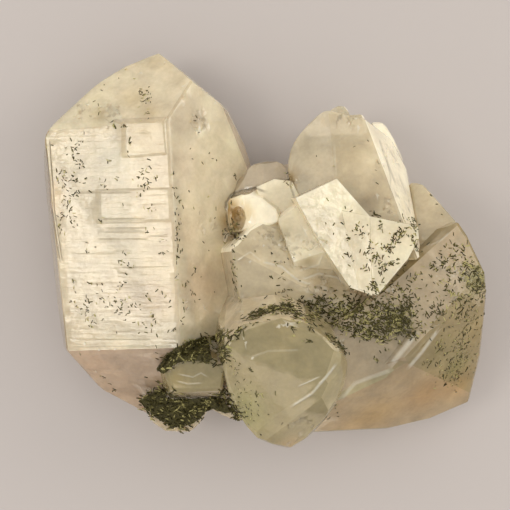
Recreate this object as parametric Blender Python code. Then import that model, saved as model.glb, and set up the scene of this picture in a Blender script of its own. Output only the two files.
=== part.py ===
"""Epidote with quartz: a cluster of quartz crystals grown together, with dark green epidote on it.

The cluster lies on the flat face where it was cut from the rock, so the crystals point along the
table and up from it. Every quartz crystal is a block cut by flat facets, and all of them are joined
in one solid. Each crust of epidote is a solid of its own that follows the quartz beneath it.
"""

import math
import random

import bmesh
import bpy
from mathutils import Vector

MM = 0.001

OBJECT_NAME = "epidote_with_quartz"
GAP = 0.3 * MM  # the clearance between a crust and the quartz beneath it
CRUST_THICKNESS = 0.6 * MM
BLOCK_SIDE = 160 * MM  # the side of the block that a crystal is cut from
ROOT_DEPTH = 2 * MM  # the first crystal reaches this far below the cut before the cluster is cut flat
ROOT_STEP = 0.37 * MM  # each further crystal reaches this much deeper

# The crystals, in millimetres and degrees. A facet is (azimuth, rise, reach): azimuth is the way it
# faces, clockwise from +Y seen from above, rise is how far it faces upwards, and reach is its
# distance from the centre of its crystal. Worn is how far the edges are rubbed down.
CRYSTALS = {
    # The long crystal on the left, with a point at both ends.
    "long_crystal": dict(
        centre=(-17.8, 0.6, 10.9),
        worn=0.12,
        facets=[(-164.5, 47.5, 17.75), (-98, 74, 8.75), (-23, 50.5, 18.85), (88.5, 46, 10.4),
            (136, 33.5, 21.3), (-141, -35.5, 19.85), (-132.5, 10, 22.5), (-96, 12, 15.95),
            (-91.5, -46, 17), (-62.5, 0, 23), (-44, -33.5, 20.45), (-42, 12, 25.1), (-32, 0, 26.9),
            (-22, 5, 28.5), (38.5, 5, 25.2), (40, 5, 24.85), (65, 5, 20.35), (72, 12, 18.15),
            (82, -74, 10.35), (86.5, -14, 18.2), (126, -12, 23.55), (157, -50.5, 21.6)],
    ),
    # A growth step on the front face of the long crystal.
    "long_crystal_middle_step": dict(
        centre=(-20.6, 6.1, 19.3),
        worn=0,
        facets=[(-139, 67, 0.8), (-98, 74, 0.25), (-96, 67, 0.85), (-42.5, 67, 1.05), (96, 80, 3.1),
            (82, -74, 0.05)],
    ),
    # A second step, in the upper right corner of the same face.
    "long_crystal_top_step": dict(
        centre=(-18.7, 16.7, 20.2),
        worn=0,
        facets=[(-140.5, 67, 0.9), (-98, 74, 0.3), (-95.5, 67, 0.6), (-43, 67, 1.15), (91, 80, 1.95),
            (82, -74, 0)],
    ),
    # The crystal at the upper right.
    "upper_crystal": dict(
        centre=(15.4, 9.4, 11.9),
        worn=0.15,
        facets=[(-75, 60, 8.85), (-24, 78.5, 8.8), (64, 29.5, 8.8), (-99.5, -10, 9.25),
            (-77.5, -8, 10.65), (-55.5, -8, 11.45), (-40.5, -7.5, 11.8), (-16.5, -5, 12.55),
            (13, 1, 11.2), (25, -5, 10), (61.5, -5, 9.5), (85.5, -3.5, 9.3), (176, -14.5, 9.15)],
    ),
    # Three small knobs along its top.
    "tip_knob_left": dict(
        centre=(13.2, 20.8, 10.9),
        worn=0.35,
        facets=[(0, 65, 4.3), (-97.5, 0, 1.75), (-47.5, -4.5, 1.6), (0, -25, 0.5), (59, -18.5, 0.7),
            (97, -4.5, 1.4), (180, 0, 2.2)],
    ),
    "tip_knob_middle": dict(
        centre=(16.3, 19.2, 10.7),
        worn=0.3,
        facets=[(30, 65, 5.35), (-88.5, 0, 1.5), (-11.5, -19.5, 0.4), (66.5, -14.5, 0.35),
            (92, 0, 1.5), (179, 0, 2.3)],
    ),
    "tip_knob_right": dict(
        centre=(21.3, 16, 7),
        worn=0.4,
        facets=[(50, 65, 5.2), (-135.5, 0, 2.4), (-88.5, 0, 2.95), (-7.5, -14, 3.4), (55.5, -12, 1.25),
            (73, -8, 1.35), (131, 0, 3.85)],
    ),
    # The tilted crystal in front of it, in two overlapping growths.
    "bright_crystal": dict(
        centre=(10.5, 0.7, 13.4),
        worn=0,
        facets=[(-85, 75, 11), (-158.5, 6, 6.9), (-122.5, 5, 2), (-118, 4, 1.8), (-26, 4, 8.65),
            (49, 4, 8.35), (88.5, 0, 6.85)],
    ),
    "bright_crystal_right": dict(
        centre=(19.8, -2.7, 14.2),
        worn=0,
        facets=[(-84, 76.5, 12.7), (-158, 8, 7.2), (-101.5, 0, 5.1), (11.5, 4, 7.2), (85.5, 4, 6.05),
            (118, 8, 4.5), (130.5, 8, 4.05)],
    ),
    # The rounded crystal behind the middle.
    "rear_crystal": dict(
        centre=(0.8, 8.5, 8.3),
        worn=0.5,
        facets=[(-72, 50, 6.1), (10, 70, 5.9), (66, 54, 5.9), (-103, -19, 4.2), (-54.5, 0, 4.85),
            (-33, -6, 4.75), (-1, -12, 4.5), (49.5, -6, 5.75), (85, 0, 5.5), (174.5, -20, 2.2)],
    ),
    # The small crystal in front of it, beside the stained hollow.
    "stained_crystal": dict(
        centre=(1.7, 6.8, 9.8),
        worn=0.2,
        facets=[(-90, 53, 9.15), (-60, 78, 9.1), (3.5, 24.5, 4.45), (33.5, 24.5, 3.5), (-90, 0, 6.7),
            (-24.5, 8, 4.05), (88.5, 15, 3.8), (145, 20, 6.6), (169, 8, 4.9), (179, 10, 5.8)],
    ),
    # The small crystal that fills the notch between the rear one and the bright one.
    "notch_crystal": dict(
        centre=(3.5, 8.5, 9),
        worn=0,
        facets=[(20, 83, 8.5), (-162.5, 0, 3.25), (-106.5, 0, 3.55), (-24, 5, 3.05), (6.5, 5, 2.7),
            (64.5, 5, 3.2), (133, 0, 3.35)],
    ),
    # The low crystals in the middle.
    "centre_crystal": dict(
        centre=(4, -2.3, 11.2),
        worn=0.2,
        facets=[(-150, 76, 11.3), (26.5, 61, 8.8), (-175.5, 0, 11.05), (-102.5, 14.5, 10.25),
            (-44, 9, 8.6), (-23, 13.5, 8.55), (46.5, 4, 6.9), (49.5, 5, 7.2), (85, 3, 12.45)],
    ),
    "centre_crystal_upper": dict(
        centre=(6.1, 2.5, 11.5),
        worn=0,
        facets=[(-40, 70, 8.65), (172, 50, 11.35), (-178, 5, 9), (-106.5, 10, 3.85), (-35.5, 20, 5.5),
            (40, 9.5, 4.2), (86.5, 4, 6.65)],
    ),
    # The small crystal behind the right shoulder.
    "side_crystal": dict(
        centre=(28.3, 3.9, 11.6),
        worn=0.25,
        facets=[(-30, 57, 6.65), (-153.5, -17, 1.95), (-93, 0, 3.15), (8.5, -7.5, 5.3),
            (59, -10, 1.15), (60, -10, 1.1), (118, 0, 3.2)],
    ),
    # The broad crystal at the lower right.
    "broad_crystal": dict(
        centre=(21.1, -13.4, 12.6),
        worn=0.3,
        facets=[(-40.5, 23, 9.75), (-10, 84, 11.35), (130, 44, 11.5), (153.5, 38.5, 12.1),
            (-171, -12, 16.7), (-120.5, -5, 18.7), (-96, -10, 13.8), (-34.5, -4, 9.6),
            (-14.5, 0, 14.05), (57.5, -4, 17.2), (66, -6, 15.7), (70, -6, 15.55), (85, -6.5, 14.85),
            (95.5, -5, 15.8), (107, -9.5, 18), (158.5, -14, 17.8), (176, -17, 16.55)],
    ),
    # A growth step on its front.
    "broad_crystal_step": dict(
        centre=(23.5, -16.1, 24),
        worn=0,
        facets=[(-47.5, 42, 1.15), (-10, 84, 0.75), (-4, 42, 2.15), (130, 42, 0.95), (164.5, 42, 1.6),
            (170, -84, 0.55)],
    ),
    # The rounded crystal at the front, the highest of all.
    "front_crystal": dict(
        centre=(2.9, -16.3, 15.8),
        worn=0.5,
        facets=[(-160, 82, 14.8), (113, 33, 15.8), (147.5, 40, 16.05), (-156, -8.5, 12.8),
            (-131.5, -12, 8.55), (-131.5, -8, 9.6), (-110, 0, 9.45), (-95, 5, 10.05),
            (-62.5, 10, 10.15), (-33, 18, 10.45), (-18.5, 20, 10.25), (-3.5, 20, 10), (25, 15, 9.25),
            (47, 10, 9.6), (77, 3, 10.6), (112, 0, 11.8), (130, -9.5, 11.85), (150.5, -14, 13.1)],
    ),
    # The small crystal between the long one and the front one.
    "low_crystal": dict(
        centre=(-12.8, -19.6, 11),
        worn=0.3,
        facets=[(-170, 75, 9.85), (-111.5, 14.5, 4.7), (-42, 14.5, 3.35), (-6.5, 20, 4.7),
            (52, 10, 7.45), (101.5, 0, 7.5), (178.5, 15, 6.2)],
    ),
    # The pale lump under the lower crust.
    "rim_crystal": dict(
        centre=(-13.8, -28, 7.3),
        worn=0.5,
        facets=[(180, 60, 4.45), (-176.5, -30, 1.7), (-133.5, -26.5, 2.1), (-103.5, -13, 3.55),
            (-14.5, 0, 4.25), (-2.5, 0, 3.65), (64, 0, 6.15), (110, -9, 4.2), (130, -20.5, 2.95)],
    ),
    # The pale foot between that lump and the front crystal.
    "foot_crystal": dict(
        centre=(-5.9, -26.5, 6.8),
        worn=0.3,
        facets=[(175, 78, 6), (-172.5, -10, 1.45), (-149.5, -8, 0.8), (-106, -10, 2.25),
            (-50.5, 0, 3.45), (0, 0, 2.9), (73.5, 0, 3.2), (112, 0, 4.1)],
    ),
}

# The hollow beside the small stained crystal, in millimetres: its centre and its half sizes.
HOLLOW_CENTRE = (-3.4, 4.2, 17.6)
HOLLOW_SIZE = (1.5, 2.1, 1.7)

# The crusts of epidote. The outline and the lowest height are in millimetres. A crust follows the
# faces of its host crystals, and the rods are the coarse needles that stand out of it.
CRUSTS = {
    # The thick mat on the lower end of the long crystal.
    "epidote_crust_lower": dict(
        outline=[
            (-19.6, -25.7), (-16.6, -23.8), (-13.8, -24.3), (-9.7, -24.3), (-6.4, -24.6), (-5.6, -25.9),
            (-4.7, -27.6), (-5.5, -27.8), (-7.4, -27), (-8.9, -27.6), (-9.7, -28.8), (-11.7, -30),
            (-14.3, -30.2), (-17, -28.6),
        ],
        hosts=("long_crystal", "rim_crystal", "foot_crystal"),
        lowest=9.6,
        rods=26,
        seed=11,
    ),
    # The narrower mat between the long crystal and the front crystal.
    "epidote_crust_upper": dict(
        outline=[
            (-16.4, -20), (-14.3, -17.3), (-11.7, -15.7), (-8.5, -14.9), (-7.7, -17.3),
            (-7.2, -18.3), (-10.1, -18.4), (-13, -18.7), (-15.1, -20.5),
        ],
        hosts=("long_crystal", "low_crystal"),
        lowest=14.5,
        rods=18,
        seed=12,
    ),
    # The band across the middle, behind the front crystal.
    "epidote_band": dict(
        outline=[
            (5.1, -10.1), (8.1, -9.3), (13.7, -8.8), (19.2, -8.8), (24.3, -9.8), (24.8, -11.7),
            (22.7, -14.5), (19.5, -15.3), (15.7, -14.5), (15, -13), (10, -12), (6.5, -11.5),
        ],
        hosts=("broad_crystal", "centre_crystal"),
        lowest=17,
        rods=34,
        seed=13,
    ),
}
ROD_LENGTH = (1.6 * MM, 2.8 * MM)
ROD_RADIUS = (0.24 * MM, 0.38 * MM)
ROD_MARGIN = 0.9 * MM  # rods keep this far inside the outline

QUARTZ_COLOUR = (0.78, 0.72, 0.60, 1.0)
EPIDOTE_COLOUR = (0.035, 0.055, 0.025, 1.0)


def facing(azimuth, rise):
    """The unit vector that looks this way, from angles in degrees."""
    turn, up = math.radians(azimuth), math.radians(rise)
    return Vector((math.sin(turn) * math.cos(up), math.cos(turn) * math.cos(up), math.sin(up)))


def planes_of(crystal, grown=0.0):
    """The facets of a crystal as (normal, distance from the origin), moved outwards by grown."""
    centre = Vector(crystal["centre"]) * MM
    planes = []
    for azimuth, rise, reach in crystal["facets"]:
        normal = facing(azimuth, rise)
        planes.append((normal, normal.dot(centre) + reach * MM + grown))
    planes.append((Vector((0, 0, -1)), crystal["root"]))
    return planes


def cut(shape, normal, distance):
    """Cuts away the side of a convex shape that lies beyond the plane, and closes it again."""
    every = shape.verts[:] + shape.edges[:] + shape.faces[:]
    made = bmesh.ops.bisect_plane(
        shape,
        geom=every,
        dist=1e-7,
        plane_co=normal * distance,
        plane_no=normal,
        clear_outer=True,
    )
    rim = [piece for piece in made["geom_cut"] if isinstance(piece, bmesh.types.BMEdge)]
    if len(rim) > 2:
        bmesh.ops.contextual_create(shape, geom=rim)
        bmesh.ops.recalc_face_normals(shape, faces=shape.faces[:])


def rub_edges(shape, depth):
    """Rubs every edge above the table down to a narrow flat."""
    flats = []
    for edge in shape.edges:
        first, second = edge.link_faces
        if min(first.normal.z, second.normal.z) < -0.999:
            continue
        normal = (first.normal + second.normal).normalized()
        if first.normal.dot(second.normal) < 0.97:
            middle = (edge.verts[0].co + edge.verts[1].co) / 2
            flats.append((normal, normal.dot(middle) - depth))
    for normal, distance in flats:
        cut(shape, normal, distance)


def crystal_shape(crystal, grown=0.0):
    """A crystal cut from a block, facet by facet."""
    shape = bmesh.new()
    bmesh.ops.create_cube(shape, size=BLOCK_SIDE)
    for normal, distance in planes_of(crystal, grown):
        cut(shape, normal, distance)
    if crystal["worn"] and not grown:
        rub_edges(shape, crystal["worn"] * MM)
    return shape


def hollow_shape():
    """The rounded block that the hollow is cut with."""
    shape = bmesh.new()
    bmesh.ops.create_icosphere(shape, subdivisions=2, radius=MM)
    bmesh.ops.scale(shape, verts=shape.verts[:], vec=HOLLOW_SIZE)
    bmesh.ops.translate(shape, verts=shape.verts[:], vec=Vector(HOLLOW_CENTRE) * MM)
    return shape


def add_object(name, shape, collection):
    """Turns a shape into an object and frees the shape."""
    bmesh.ops.remove_doubles(shape, verts=shape.verts[:], dist=2e-6)
    bmesh.ops.recalc_face_normals(shape, faces=shape.faces[:])
    mesh = bpy.data.meshes.new(name)
    shape.to_mesh(mesh)
    shape.free()
    made = bpy.data.objects.new(name, mesh)
    collection.objects.link(made)
    return made


def combine(body, tool, how):
    """Applies an exact Boolean of body with tool to the mesh of body."""
    modifier = body.modifiers.new("combine", "BOOLEAN")
    modifier.operation = how
    modifier.solver = "EXACT"
    modifier.object = tool
    bpy.context.view_layer.update()
    graph = bpy.context.evaluated_depsgraph_get()
    result = bpy.data.meshes.new_from_object(body.evaluated_get(graph))
    body.modifiers.remove(modifier)
    body.data = result


def join_crystals(name, labels, grown, collection):
    """These crystals joined in one solid, cut off flat at the height of the table."""
    joined = None
    for label in labels:
        crystal = CRYSTALS[label]
        piece = add_object(label, crystal_shape(crystal, grown), collection)
        if joined is None:
            joined = piece
            joined.name = name
        else:
            combine(joined, piece, "UNION")
            bpy.data.objects.remove(piece)
    block = bmesh.new()
    bmesh.ops.create_cube(block, size=BLOCK_SIDE)
    bmesh.ops.translate(block, verts=block.verts[:], vec=(0, 0, -BLOCK_SIDE / 2))
    rock = add_object("rock_below_the_cut", block, collection)
    combine(joined, rock, "DIFFERENCE")
    bpy.data.objects.remove(rock)
    return joined


def host_height(hosts, x, y):
    """The height of the faces of the host crystals above this point of the table."""
    highest = 0.0
    for crystal in (CRYSTALS[label] for label in hosts):
        low, high = 0.0, BLOCK_SIDE
        for normal, distance in planes_of(crystal):
            room = distance - normal.x * x - normal.y * y
            if normal.z > 1e-6:
                high = min(high, room / normal.z)
            elif normal.z < -1e-6:
                low = max(low, room / normal.z)
            elif room < 0:
                high = 0.0
        if high > low:
            highest = max(highest, high)
    return highest


def distance_inside(outline, x, y):
    """How far a point is inside an outline, and a negative number outside it."""
    inside = False
    nearest = BLOCK_SIDE
    for index, (x2, y2) in enumerate(outline):
        x1, y1 = outline[index - 1]
        if (y1 > y) != (y2 > y) and x < (x2 - x1) * (y - y1) / (y2 - y1) + x1:
            inside = not inside
        along = ((x - x1) * (x2 - x1) + (y - y1) * (y2 - y1)) / ((x2 - x1) ** 2 + (y2 - y1) ** 2)
        along = min(1.0, max(0.0, along))
        nearest = min(nearest, math.hypot(x - x1 - along * (x2 - x1), y - y1 - along * (y2 - y1)))
    return nearest if inside else -nearest


def outline_shape(outline, lowest):
    """An upright block with this outline."""
    shape = bmesh.new()
    corners = [shape.verts.new((x, y, lowest)) for x, y in outline]
    base = shape.faces.new(corners)
    raised = bmesh.ops.extrude_face_region(shape, geom=[base])["geom"]
    lifted = [piece for piece in raised if isinstance(piece, bmesh.types.BMVert)]
    bmesh.ops.translate(shape, verts=lifted, vec=(0, 0, BLOCK_SIDE / 4))
    bmesh.ops.recalc_face_normals(shape, faces=shape.faces[:])
    return shape


def keep_largest(body):
    """Removes the loose crumbs that a Boolean leaves, so that one closed body stays."""
    shape = bmesh.new()
    shape.from_mesh(body.data)
    waiting = set(shape.faces)
    groups = []
    while waiting:
        group = {waiting.pop()}
        edge_of_group = list(group)
        while edge_of_group:
            face = edge_of_group.pop()
            for edge in face.edges:
                for neighbour in edge.link_faces:
                    if neighbour in waiting:
                        waiting.discard(neighbour)
                        group.add(neighbour)
                        edge_of_group.append(neighbour)
        groups.append(group)
    groups.sort(key=lambda group: sum(face.calc_area() for face in group))
    crumbs = [face for group in groups[:-1] for face in group]
    bmesh.ops.delete(shape, geom=crumbs, context="FACES")
    shape.to_mesh(body.data)
    shape.free()


def rod_shape(x, y, height, turn, tilt, length, radius):
    """A six-sided needle half sunk in the crust."""
    shape = bmesh.new()
    bmesh.ops.create_cone(
        shape, cap_ends=True, segments=6, radius1=radius, radius2=radius * 0.8, depth=length
    )
    along = facing(turn, tilt)
    lean = Vector((0, 0, 1)).rotation_difference(along).to_matrix()
    bmesh.ops.rotate(shape, verts=shape.verts[:], matrix=lean)
    bmesh.ops.translate(shape, verts=shape.verts[:], vec=(x, y, height))
    return shape


def build_crust(name, crust, grown_gap, helpers, parts):
    """A crust cut between its enlarged hosts and the enlarged quartz, with coarse needles in it."""
    outline = [(x * MM, y * MM) for x, y in crust["outline"]]
    body = add_object(name, outline_shape(outline, crust["lowest"] * MM), parts)
    thick = join_crystals(name + "_outside", crust["hosts"], GAP + CRUST_THICKNESS, helpers)
    combine(body, thick, "INTERSECT")
    dice = random.Random(crust["seed"])
    placed = 0
    while placed < crust["rods"]:
        corner_x = [x for x, y in outline]
        corner_y = [y for x, y in outline]
        x = dice.uniform(min(corner_x), max(corner_x))
        y = dice.uniform(min(corner_y), max(corner_y))
        if distance_inside(outline, x, y) < ROD_MARGIN:
            continue
        rod = rod_shape(
            x,
            y,
            host_height(crust["hosts"], x, y) + GAP + CRUST_THICKNESS * 0.8,
            dice.uniform(0, 360),
            dice.uniform(-12, 22),
            dice.uniform(*ROD_LENGTH),
            dice.uniform(*ROD_RADIUS),
        )
        tool = add_object("rod", rod, helpers)
        combine(body, tool, "UNION")
        bpy.data.objects.remove(tool)
        placed += 1
    combine(body, grown_gap, "DIFFERENCE")
    keep_largest(body)
    return body


def surface_material(name, colour, roughness, transmission, index):
    """A plain material for one mineral."""
    material = bpy.data.materials.new(name)
    material.use_nodes = True
    shader = material.node_tree.nodes["Principled BSDF"]
    shader.inputs["Base Color"].default_value = colour
    shader.inputs["Roughness"].default_value = roughness
    shader.inputs["Transmission Weight"].default_value = transmission
    shader.inputs["IOR"].default_value = index
    return material


def main():
    for stale in list(bpy.data.objects):
        bpy.data.objects.remove(stale)
    parts = bpy.data.collections.new(OBJECT_NAME)
    helpers = bpy.data.collections.new("cutters")
    for collection in (parts, helpers):
        bpy.context.scene.collection.children.link(collection)
    helpers.hide_render = True
    for number, crystal in enumerate(CRYSTALS.values()):
        crystal["root"] = ROOT_DEPTH + number * ROOT_STEP
    quartz = join_crystals("quartz_cluster", CRYSTALS, 0.0, parts)
    hollow = add_object("stained_hollow", hollow_shape(), helpers)
    combine(quartz, hollow, "DIFFERENCE")
    quartz.data.materials.clear()
    quartz.data.materials.append(surface_material("quartz", QUARTZ_COLOUR, 0.12, 0.6, 1.54))
    grown_gap = join_crystals("quartz_with_clearance", CRYSTALS, GAP, helpers)
    epidote = surface_material("epidote", EPIDOTE_COLOUR, 0.35, 0.0, 1.74)
    for name, crust in CRUSTS.items():
        body = build_crust(name, crust, grown_gap, helpers, parts)
        body.data.materials.clear()
        body.data.materials.append(epidote)
    for cutter in helpers.objects:
        cutter.display_type = "WIRE"


main()
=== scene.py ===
"""Epidote with quartz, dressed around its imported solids.

A cluster of milky to clear quartz crystals with dark green epidote lies on its flat cut back. The
camera looks straight down on it.
"""

import math
import random

import bmesh
import bpy
import numpy as np
from mathutils import Matrix, Quaternion, Vector, noise
from mathutils.bvhtree import BVHTree


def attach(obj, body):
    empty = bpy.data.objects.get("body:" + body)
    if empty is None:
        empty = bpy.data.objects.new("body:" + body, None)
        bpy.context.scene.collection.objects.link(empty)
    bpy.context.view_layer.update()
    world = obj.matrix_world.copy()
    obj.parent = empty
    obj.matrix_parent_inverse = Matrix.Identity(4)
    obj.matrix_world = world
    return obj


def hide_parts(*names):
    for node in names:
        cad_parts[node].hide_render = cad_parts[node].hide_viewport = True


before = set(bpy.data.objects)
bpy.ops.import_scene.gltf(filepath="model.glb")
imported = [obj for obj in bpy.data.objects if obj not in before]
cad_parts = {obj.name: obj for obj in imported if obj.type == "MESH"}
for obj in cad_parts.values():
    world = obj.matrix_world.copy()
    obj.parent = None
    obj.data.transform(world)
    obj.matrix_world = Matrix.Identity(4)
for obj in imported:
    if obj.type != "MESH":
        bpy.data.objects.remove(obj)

bl_info = {
    "name": "Epidote with quartz",
    "version": (1, 0, 0),
    "blender": (4, 5, 0),
    "location": "3D View > Sidebar > Mineral",
    "description": "Dresses a cluster of quartz crystals with epidote",
    "category": "Object",
}

MM = 0.001
QUARTZ_NODE = "quartz_cluster"
QUARTZ_PIECE = "quartz_crystals"
BAND_NODE = "epidote_band"
EPIDOTE_MATERIAL = "green epidote"
BODY = "root"

# The camera: its place in metres, its lens, and the side of the square picture in pixels.
CAMERA_PLACE = Vector((-0.6, -1.7, 235.0)) * MM
SENSOR_WIDTH = 36.0
PICTURE_SIDE = 510
FOCAL_PIXELS = 1343.75

SHARP = math.radians(9)
SHORTEST_WORN_EDGE = 0.6 * MM
CELL = 0.5 * MM  # the side of the small cubes in which fine features are looked up
KEY_PLACE = Vector((-0.66, -0.02, 1.0))
FILL_PLACE = Vector((0.8, 0.25, 0.45))

# The tones of the quartz. The lighter and darker of them also serve as painted light and painted shade, given to
# facets by how they face the lights.
PALETTE = {
    "white": (0.94, 0.86, 0.68),
    "cream": (0.93, 0.83, 0.61),
    "pale": (0.82, 0.72, 0.53),
    "beige": (0.78, 0.67, 0.46),
    "tan": (0.66, 0.54, 0.36),
    "rose": (0.66, 0.50, 0.36),
    "amber": (0.61, 0.46, 0.27),
    "olive": (0.57, 0.49, 0.28),
    "khaki": (0.47, 0.37, 0.19),
    "sage": (0.42, 0.355, 0.185),
}

# The tone that ridges and chips lighten towards: the colour of their painted highlights and glints.
GLINT = Vector((0.96, 0.93, 0.82))

# The facets, each by a place in the picture where it shows, its tone and how milky it is. The tones are partly
# the quartz's own colour and partly painted light and shade: each facet's tone and milkiness were set lighter or
# darker to match how much light the facet shows, and facets that turn away from the key light, such as the upper
# right one, are painted white and extra milky as painted light.
FACETS = {
    "long front": (110, 235, "pale", 0.9),
    "long front, middle step": (130, 200, "pale", 0.9),
    "long front, top step": (143, 140, "beige", 0.85),
    "long top": (120, 100, "cream", 0.9),
    "long right": (205, 170, "cream", 0.9),
    "long bottom": (110, 375, "rose", 0.85),
    "long left": (50, 200, "tan", 0.75),
    "rear": (262, 172, "tan", 0.8),
    "painted_light_and_stains": (262, 212, "white", 1.4),
    "upper left": (315, 150, "pale", 0.9),
    "upper middle": (355, 160, "beige", 0.9),
    "upper right": (393, 170, "white", 1.4),
    "bright left": (325, 210, "cream", 1.0),
    "bright right": (385, 240, "cream", 1.1),
    "centre low": (265, 295, "beige", 0.85),
    "centre high": (290, 262, "beige", 1.0),
    "centre upper": (300, 235, "cream", 1.1),
    "side": (435, 210, "beige", 0.85),
    "broad top": (370, 310, "tan", 0.85),
    "broad right": (460, 340, "khaki", 0.9),
    "broad low": (420, 395, "amber", 0.85),
    "broad left": (430, 245, "khaki", 0.85),
    "front top": (280, 370, "sage", 0.9),
    "front right": (340, 375, "olive", 0.85),
    "front low": (310, 425, "sage", 0.85),
    "low": (195, 375, "sage", 0.95),
    "rim": (180, 426, "tan", 0.9),
    "notch": (284, 195, "cream", 1.1),
    "foot": (218, 411, "tan", 0.9),
}

# The facets with fine growth lines across them.
LINED_FACETS = ("long front", "long front, middle step", "long front, top step")

# Soft zones over the facets, each by its place in the picture, its reach in millimetres and its tint. Most tints
# are painted light and shade: the lighter ones paint light on rims, bright sides and tips, the darker ones paint
# shade, most at feet, between crystals, behind the band and over the middle of the broad crystal. The brown
# tints around the hollow and the seam are stains, and the green moss and amber tints are the quartz's own
# colour.
ZONES = {
    "long front, upper left": (75, 145, 6.0, (1.06, 1.09, 1.12)),
    "long front, upper middle": (120, 160, 6.0, (1.06, 1.1, 1.13)),
    "long front, centre": (120, 215, 6.0, (1.06, 1.07, 1.08)),
    "long left, rim": (50, 200, 5.0, (1.3, 1.12, 1.0)),
    "long front, middle": (125, 290, 6.0, (0.93, 0.90, 0.88)),
    "long front, lower right": (155, 300, 5.5, (0.80, 0.76, 0.74)),
    "long front, foot": (115, 338, 4.0, (1.06, 1.05, 1.02)),
    "long right, rim": (236, 140, 5.0, (1.25, 1.25, 1.2)),
    "long right, lower rim": (234, 205, 4.5, (1.12, 1.10, 1.06)),
    "long right, upper left": (180, 118, 5.5, (0.74, 0.72, 0.72)),
    "long right, left edge": (180, 165, 5.5, (0.78, 0.75, 0.74)),
    "long right, lower left edge": (184, 235, 5.5, (0.86, 0.82, 0.80)),
    "long right, corner": (178, 80, 3.5, (0.82, 0.80, 0.76)),
    "long right, dark spot": (200, 117, 2.0, (0.70, 0.68, 0.68)),
    "long right, light spot": (200, 133, 1.4, (1.35, 1.35, 1.35)),
    "long right, fold": (222, 258, 4.0, (1.15, 1.10, 1.05)),
    "long right, low": (200, 285, 7.0, (0.80, 0.72, 0.68)),
    "long right, foot": (205, 328, 4.0, (1.10, 1.05, 1.0)),
    "long top, point": (160, 64, 4.0, (0.86, 0.83, 0.76)),
    "long top, middle": (135, 98, 4.5, (0.88, 0.84, 0.74)),
    "long top, foot": (100, 116, 3.0, (0.86, 0.81, 0.70)),
    "long top, right foot": (150, 112, 3.0, (0.84, 0.79, 0.68)),
    "long top, left": (92, 104, 5.0, (1.05, 1.04, 1.0)),
    "long bottom, upper": (100, 362, 4.0, (1.15, 1.12, 1.10)),
    "long bottom, lower": (140, 392, 4.0, (0.82, 0.80, 0.76)),
    "stained, left": (229, 208, 3.0, (0.54, 0.42, 0.22)),
    "stained, beside the hollow": (247, 214, 2.2, (0.74, 0.64, 0.44)),
    "stained, below the hollow": (236, 229, 2.8, (0.42, 0.33, 0.17)),
    "hollow": (238, 214, 3.6, (0.46, 0.34, 0.15)),
    "hollow, foot": (233, 236, 2.6, (0.34, 0.26, 0.14)),
    "hollow, way down": (225, 222, 2.2, (0.72, 0.62, 0.42)),
    "seam stain": (290, 179, 2.2, (0.66, 0.50, 0.24)),
    "rear, top": (265, 163, 3.0, (0.86, 0.84, 0.78)),
    "upper, left": (308, 150, 5.0, (0.84, 0.83, 0.80)),
    "upper, beside the ridge": (352, 152, 4.5, (0.84, 0.82, 0.78)),
    "upper, bright side": (371, 158, 3.4, (1.28, 1.30, 1.34)),
    "upper, foot": (368, 203, 3.2, (0.70, 0.66, 0.62)),
    "bright, upper": (330, 200, 5.0, (1.03, 1.04, 1.06)),
    "centre, upper left": (245, 250, 3.0, (0.78, 0.76, 0.72)),
    "centre, between": (283, 232, 2.6, (0.78, 0.76, 0.70)),
    "centre, dark facet": (308, 262, 1.8, (0.66, 0.62, 0.55)),
    "centre, brow": (325, 290, 4.5, (0.66, 0.62, 0.56)),
    "broad, upper edge": (412, 262, 3.0, (1.18, 1.15, 1.12)),
    "broad, middle": (392, 360, 9.0, (0.70, 0.70, 0.70)),
    "broad, behind the band": (398, 325, 5.0, (0.70, 0.70, 0.62)),
    "broad, right side": (440, 350, 6.0, (0.82, 0.84, 0.74)),
    "broad, moss": (480, 280, 4.0, (0.66, 0.76, 0.46)),
    "broad, lower moss": (455, 368, 4.0, (0.78, 0.84, 0.60)),
    "broad, right rim": (480, 330, 5.0, (1.12, 1.10, 1.0)),
    "broad, amber middle": (425, 395, 7.0, (1.02, 0.88, 0.70)),
    "broad, amber foot": (375, 415, 7.0, (1.02, 0.92, 0.72)),
    "broad, amber corner": (458, 385, 5.0, (1.12, 0.98, 0.78)),
    "front, top": (280, 335, 5.0, (1.10, 1.08, 1.04)),
    "front, green foot": (245, 412, 6.0, (0.84, 0.94, 0.66)),
    "front, lower facet": (318, 422, 4.5, (0.84, 0.82, 0.70)),
    "front, pale tip": (288, 445, 3.5, (1.25, 1.08, 0.98)),
    "broad, pale rim": (350, 425, 4.0, (1.12, 1.08, 1.0)),
    "low, left": (176, 380, 3.0, (1.05, 1.0, 0.85)),
}
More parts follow.
